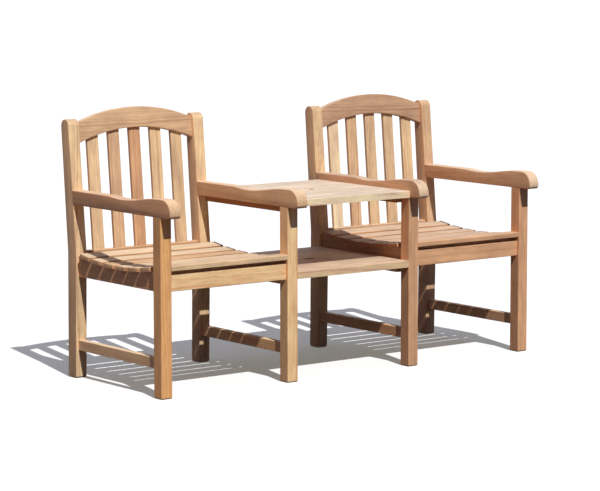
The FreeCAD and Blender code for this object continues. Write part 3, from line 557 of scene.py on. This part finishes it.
# Prints the painted top light of a seat slat.
print("a seat slat's painted top light:", by_hand("left_chair_seat_slat_1", PAINTED_TOP_LIGHT_BY_HAND, PAINTED_TOP_LIGHT))

# %% [markdown]
# Now every board gets a trunk and a shade of its own. Its luck is seeded by its place in the list of
# names, so the bench comes out the same at every run.

# %% Every board gets its teak
def grain_of(name):
    """Which way the board's length lies."""
    if "leg" in name or "post" in name or "back_slat" in name:
        return "z"
    return "y" if any(word in name for word in ("arm", "side_rail", "stretcher", "cleat")) else "x"


teaks = {}
for number, name in enumerate(sorted(nodes)):
    luck = random.Random(number)
    # The numbered seat slats take the dark tone of painted shade.
    shuffled = "chestnut" if "seat_slat" in name else luck.choice(SHUFFLED)
    teaks[name] = teak(
        f"sanded_teak_{name}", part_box(name), grain_of(name), luck,
        tone=TONES[TONE_BY_HAND.get(name, shuffled)],
        ends=by_hand(name, SAWN_AND_PAINTED_ENDS, SAWN),
        lean=BACK_LEAN if "back_slat" in name else 0.0,
        planks=name in GLUED,
        top_light=by_hand(name, PAINTED_TOP_LIGHT_BY_HAND, PAINTED_TOP_LIGHT),
    )
    nodes[name].data.materials.clear()
    nodes[name].data.materials.append(teaks[name])
print(len(teaks), "boards of teak")

# %% [markdown]
# ## One way to make a shaped board
#
# The arms, posts and crown rails are sawn from thick stock along a drawn outline, and their edges are
# then rounded over. The surface follows the same two steps. The outline is a closed row of points. It
# is carried across the board's thickness in a few rows, and near each side it draws inwards along a
# quarter circle, which is the rounded edge.

# %% Outlines
ARC_STEP = math.radians(4)


def arc(first, last, radius):
    """Points from first towards last on a circle that bows out to the right of the way, without the last.

    The centre lies on the chord's bisector, at the square root of radius squared less half the chord
    squared. The points turn about it in equal steps, by twice the arcsine of half the chord over radius."""
    first, last = np.array(first, float), np.array(last, float)
    chord = last - first
    half = np.hypot(*chord) / 2
    out = np.array([chord[1], -chord[0]]) / (2 * half) * np.sign(radius)
    centre = (first + last) / 2 - out * math.sqrt(radius**2 - half**2)
    angle = 2 * math.asin(half / abs(radius)) * np.sign(radius)
    turns = np.linspace(0, angle, max(2, math.ceil(abs(angle) / ARC_STEP)) + 1)[:-1, None]
    spoke = first - centre
    across = np.array([-spoke[1], spoke[0]])
    return centre + spoke * np.cos(turns) + across * np.sin(turns)


def outline(*corners):
    """A closed outline, anticlockwise. A corner's third number is the radius of the arc that leaves it."""
    pieces = []
    for corner, following in zip(corners, corners[1:] + corners[:1]):
        start = np.array(corner[:2], float)
        pieces.append(arc(start, following[:2], corner[2]) if len(corner) == 3 else start[None])
    return np.concatenate(pieces)


print("a quarter turn takes", len(arc((1, 0), (0, 1), 1)), "steps")

# %% The skin
SHARP = math.radians(32)


def volume(mesh):
    """Signed volume: a sixth of each triangle's first corner dotted with the cross of the other two."""
    mesh.calc_loop_triangles()
    corners = np.empty(len(mesh.loop_triangles) * 3, np.int32)
    mesh.loop_triangles.foreach_get("vertices", corners)
    place = np.empty(len(mesh.vertices) * 3, np.float32)
    mesh.vertices.foreach_get("co", place)
    a, b, c = place.reshape(-1, 3)[corners.reshape(-1, 3)].transpose(1, 0, 2).astype(float)
    return np.sum(a * np.cross(b, c)) / 6


def skin(name, rows):
    """A closed mesh over rows of points: quads from row to row, and the first and the last row as lids.

    Point p of row r has the number r * (points in a row) + p. A mesh of negative volume is inside out,
    so it is turned."""
    count = rows.shape[1]
    index = np.arange(rows.shape[0] * count).reshape(-1, count)
    after = np.roll(index, -1, axis=1)
    quads = np.stack([index[:-1], after[:-1], after[1:], index[1:]], axis=-1).reshape(-1, 4)
    faces = quads.tolist() + [index[0, ::-1].tolist(), index[-1].tolist()]
    mesh = bpy.data.meshes.new(name)
    mesh.from_pydata(rows.reshape(-1, 3), [], faces)
    if volume(mesh) < 0:
        mesh.flip_normals()
    mesh.polygons.foreach_set("use_smooth", np.ones(len(faces), bool))
    mesh.set_sharp_from_angle(angle=SHARP)
    return mesh


# %% The board
EDGE_ROWS = 5


def drawn_in(points, amount):
    """The outline moved in. Each point goes along the sum of its two edges' normals over 1 + their dot."""
    edge = np.roll(points, -1, axis=0) - points
    edge /= np.linalg.norm(edge, axis=1, keepdims=True)
    normal = np.stack([edge[:, 1], -edge[:, 0]], axis=1)
    before = np.roll(normal, 1, axis=0)
    mitre = (normal + before) / (1 + np.sum(normal * before, axis=1, keepdims=True))
    return points - np.asarray(amount)[..., None] * mitre


def shaped_board(name, points, low, high, ease, spot):
    """A board from its outline and its two sides.

    Row k of the rounded edge lies ease * (1 - cos a) in from the side, and its outline is drawn in by
    ease * (1 - sin a), with a from 0 to a quarter turn. The function spot puts outline and side in place."""
    angle = np.linspace(0, math.pi / 2, EDGE_ROWS)
    ease = np.broadcast_to(ease, len(points))
    inset = np.concatenate([1 - np.sin(angle), (1 - np.sin(angle))[::-1]])[:, None] * ease
    depth = (1 - np.cos(angle))[:, None] * ease
    side = np.concatenate([low + depth, (high - depth)[::-1]])
    plan = np.stack([drawn_in(points, row) for row in inset])
    board = bpy.data.objects.new(name, skin(name, spot(plan[..., 0], plan[..., 1], side) * MM))
    scene.collection.objects.link(board)
    return board


print("a square of 10, drawn in by 1:", drawn_in(outline((0, 0), (10, 0), (10, 10), (0, 10)), 1.0).tolist())

# %% [markdown]
# ## Where the boards go
#
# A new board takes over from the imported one: it rides on the same body, hides the plain board that it
# stands for, and takes its teak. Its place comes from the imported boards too. The faces of a chair's two
# front legs say how wide the chair is, and how much room there is between the legs. From front to back,
# every place is counted from the front of those legs. Sizes and places are in millimetres.


def stands_for(board, node):
    """The new board takes the place and the teak of a CAD node, rides on the root body, and hides the node.
    """
    board.data.materials.append(teaks[node])
    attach(board, "root")
    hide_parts(node)


def sides_of(node):
    """The board's two sides, in millimetres across the bench."""
    low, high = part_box(node)
    return low.x / MM, high.x / MM


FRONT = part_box("left_chair_outer_front_leg")[0].y / MM
chairs = {}
for chair in ("left", "right"):
    legs = sides_of(f"{chair}_chair_outer_front_leg") + sides_of(f"{chair}_chair_inner_front_leg")
    chairs[chair] = sorted(legs)
    print(chair, "chair's legs, across the bench:", [round(side, 1) for side in chairs[chair]])

# %% [markdown]
# ## Arms
#
# Each arm is level where it meets the post, dips, rises to a hump over the front leg and rolls over at
# the nose. The S between two levels is made of two equal arcs, each with the radius
# ((run / 2)^2 + (rise / 2)^2) / rise. The arm ends in the post's slanting front, so that slant comes first.

# %% The post's slant
KNEE_HEIGHT = 430.0
KNEE_FRONT = 505.5


def post_front(height):
    """Front of the rear post at a height above its knee, behind the front legs."""
    return KNEE_FRONT + (height - KNEE_HEIGHT) * math.tan(BACK_LEAN)


def from_the_side(back, height, x):
    """Places of a side view's points, at x across the bench."""
    return np.stack([x, back + FRONT, height], axis=-1)


def four_boards(kind, node_kind, points, ease):
    """One outline made four times: at the outer and the inner end of each chair."""
    for chair in chairs:
        for end in ("outer", "inner"):
            node = f"{chair}_chair_{end}_{node_kind}"
            board = shaped_board(f"{chair}_{end}_{kind}", points, *sides_of(node), ease, from_the_side)
            stands_for(board, node)


print("the posts lean back", round(post_front(KNEE_HEIGHT + 100) - KNEE_FRONT, 1), "mm in every 100")

# %% Arms
ARM_LOW = 594.0
ARM_THICKNESS = 48.0
ARM_DIP = 6.0
ARM_HUMP = 12.5
FLAT_PLACE, DIP_PLACE, HUMP_PLACE = 322.0, 228.0, 10.0
NOSE = -55.5
NOSE_ROLL = 46.0
CHIN = 12.0
INTO_POST = 4.0
ARM_EASE = 2.5


def half_s(run, rise):
    """Radius of each half of an S between two levels."""
    return ((run / 2) ** 2 + (rise / 2) ** 2) / rise


flat = ARM_LOW + ARM_THICKNESS
dip, hump = flat - ARM_DIP, flat + ARM_HUMP
rear_bend = half_s(FLAT_PLACE - DIP_PLACE, flat - dip)
front_bend = half_s(DIP_PLACE - HUMP_PLACE, hump - dip)
arm_outline = outline(
    (NOSE + CHIN, ARM_LOW),
    (post_front(ARM_LOW) + INTO_POST, ARM_LOW),
    (post_front(flat) + INTO_POST, flat),
    (FLAT_PLACE, flat, rear_bend),
    ((FLAT_PLACE + DIP_PLACE) / 2, (flat + dip) / 2, -rear_bend),
    (DIP_PLACE, dip, -front_bend),
    ((DIP_PLACE + HUMP_PLACE) / 2, (dip + hump) / 2, front_bend),
    (HUMP_PLACE, hump),
    (NOSE + NOSE_ROLL, hump, NOSE_ROLL),
    (NOSE, hump - NOSE_ROLL),
    (NOSE, ARM_LOW + CHIN, CHIN),
)
four_boards("arm", "arm", arm_outline, ARM_EASE)
print("arm outline:", len(arm_outline), "points")

# %% [markdown]
# ## Rear posts
#
# A rear post is one piece from the floor to its rounded top, and leans back above the knee. The grain
# stays straight through the knee, because the post is sawn from a plank and not bent. Its foot is
# bevelled all round, which keeps it from splitting when the bench is dragged. Its top is a half circle,
# with the centre one radius behind the leaning front.

# %% Rear posts
FOOT_FRONT, FOOT_REAR = 515.0, 563.0
FOOT_BEVEL = 5.0
KNEE_REAR = 557.5
TOP = 880.0
TOP_RADIUS = 23.2
POST_EASE = 1.8

slope, square = math.sin(BACK_LEAN), math.cos(BACK_LEAN)
top_centre = TOP - TOP_RADIUS
rise_to_top = top_centre + TOP_RADIUS * slope - KNEE_HEIGHT
top_place = KNEE_FRONT + TOP_RADIUS * square + rise_to_top * slope / square
post_outline = outline(
    (FOOT_FRONT + FOOT_BEVEL, 0),
    (FOOT_REAR - FOOT_BEVEL, 0),
    (FOOT_REAR, FOOT_BEVEL),
    (KNEE_REAR, KNEE_HEIGHT),
    (top_place + TOP_RADIUS * square, top_centre - TOP_RADIUS * slope, TOP_RADIUS),
    (top_place, TOP, TOP_RADIUS),
    (top_place - TOP_RADIUS * square, top_centre + TOP_RADIUS * slope),
    (KNEE_FRONT, KNEE_HEIGHT),
    (FOOT_FRONT, FOOT_BEVEL),
)
on_the_floor = post_outline[:, 1] < 1
four_boards("post", "rear_post", post_outline, np.where(on_the_floor, FOOT_BEVEL, POST_EASE))
print("post outline:", len(post_outline), "points")

# %% [markdown]
# ## Crown rails
#
# The crown rail is arched along both edges with one radius, and stands in the leaning plane of the back.
# It is drawn upright, behind the posts' front faces, and then leaned about the top of the rear rail, so
# that the front of its arch just reaches the height of the bench. Half the room between the posts and
# the rise give the radius: (half^2 + rise^2) / (2 * rise).

# %% Crown rails
REAR_RAIL_TOP = 433.0
BENCH_HEIGHT = 913.0
CROWN_DEPTH = 71.0
CROWN_RISE = 46.0
CROWN_SETBACK = 10.0
CROWN_THICKNESS = 26.0
CROWN_EASE = 2.5


def leaned(middle):
    """A function that leans the back: (behind, height) turned by the lean about the rear rail's top."""
    def spot(across, height, behind):
        back = post_front(REAR_RAIL_TOP) + behind * square + height * slope
        return np.stack(
            [across + middle, back + FRONT, REAR_RAIL_TOP - behind * slope + height * square], axis=-1)
    return spot


crown_high = (BENCH_HEIGHT - REAR_RAIL_TOP + CROWN_SETBACK * slope) / square
crown_low = crown_high - CROWN_DEPTH
for chair, (_, left_leg, right_leg, _) in chairs.items():
    half = (right_leg - left_leg) / 2
    bow = (half**2 + CROWN_RISE**2) / (2 * CROWN_RISE)
    crown_outline = outline(
        (-half, crown_low - CROWN_RISE, -bow),
        (half, crown_low - CROWN_RISE),
        (half, crown_high - CROWN_RISE, bow),
        (-half, crown_high - CROWN_RISE),
    )
    board = shaped_board(
        f"{chair}_crown", crown_outline, CROWN_SETBACK, CROWN_SETBACK + CROWN_THICKNESS, CROWN_EASE,
        leaned((left_leg + right_leg) / 2),
    )
    stands_for(board, f"{chair}_chair_crown_rail")
    print(f"{chair} crown rail: radius", round(bow), "mm,", len(crown_outline), "points")

# %% [markdown]
# ## Seat slats
#
# The slats lie across the scooped side rails, each square to the scoop, so they fan like the staves of a
# barrel. Their section has well rounded edges, which are kind to the legs and let the sun draw thin lines
# on the boards below. It is carried along the slat's length.

# %% A slat
SLAT_WIDTH, SLAT_HEIGHT = 57.0, 15.0
SLAT_CROWN, SLAT_FOOT = 4.5, 2.5
FRONT_SLAT_WIDTH, FRONT_SLAT_HEIGHT = 46.0, 17.0
FRONT_SLAT_CROWN, FRONT_SLAT_FOOT = 3.5, 1.0


def slat_section(width, height, crown, foot):
    """A slat's section on its underside's middle. Crown and foot are its upper and lower corners' radii."""
    half = width / 2
    return outline(
        (-half + foot, 0), (half - foot, 0, foot), (half, foot), (half, height - crown, crown),
        (half - crown, height), (-half + crown, height, crown), (-half, height - crown), (-half, foot, foot),
    )


def laid(place, height, tilt=0.0):
    """A function that turns a section (y, z) by the slat's tilt and lays it on the side rails."""
    def spot(y, z, x):
        back = place + y * math.cos(tilt) - z * math.sin(tilt)
        level = height + y * math.sin(tilt) + z * math.cos(tilt)
        return np.stack([x, back + FRONT, level], axis=-1)
    return spot


seat_section = slat_section(SLAT_WIDTH, SLAT_HEIGHT, SLAT_CROWN, SLAT_FOOT)
front_section = slat_section(FRONT_SLAT_WIDTH, FRONT_SLAT_HEIGHT, FRONT_SLAT_CROWN, FRONT_SLAT_FOOT)
print("sections of", len(seat_section), "and", len(front_section), "points")

# %% Six slats on a scooped rail
DISH_RADIUS, DISH_PLACE, DISH_LOW = 1290.0, 264.0, 398.0
SLATS = 6
FIRST_SLAT, SLAT_STEP = 91.5, 73.0
FRONT_SLAT_LOW = 418.0
SLAT_EASE, FRONT_SLAT_EASE = 1.2, 0.4

chord = math.sqrt(DISH_RADIUS**2 - (SLAT_WIDTH / 2) ** 2)
for chair, (chair_left, left_leg, right_leg, chair_right) in chairs.items():
    for number in range(SLATS):
        tilt = math.asin((FIRST_SLAT + SLAT_STEP * number - DISH_PLACE) / DISH_RADIUS)
        place = DISH_PLACE + chord * math.sin(tilt)
        height = DISH_LOW + DISH_RADIUS - chord * math.cos(tilt)
        board = shaped_board(f"{chair}_slat_{number + 1}", seat_section, chair_left, chair_right, SLAT_EASE,
                             laid(place, height, tilt))
        stands_for(board, f"{chair}_chair_seat_slat_{number + 1}")
    board = shaped_board(f"{chair}_front_slat", front_section, left_leg, right_leg, FRONT_SLAT_EASE,
                         laid(FRONT_SLAT_WIDTH / 2, FRONT_SLAT_LOW))
    stands_for(board, f"{chair}_chair_front_seat_slat")
print("seat slats laid, the last tilted by", round(math.degrees(tilt), 1), "degrees")
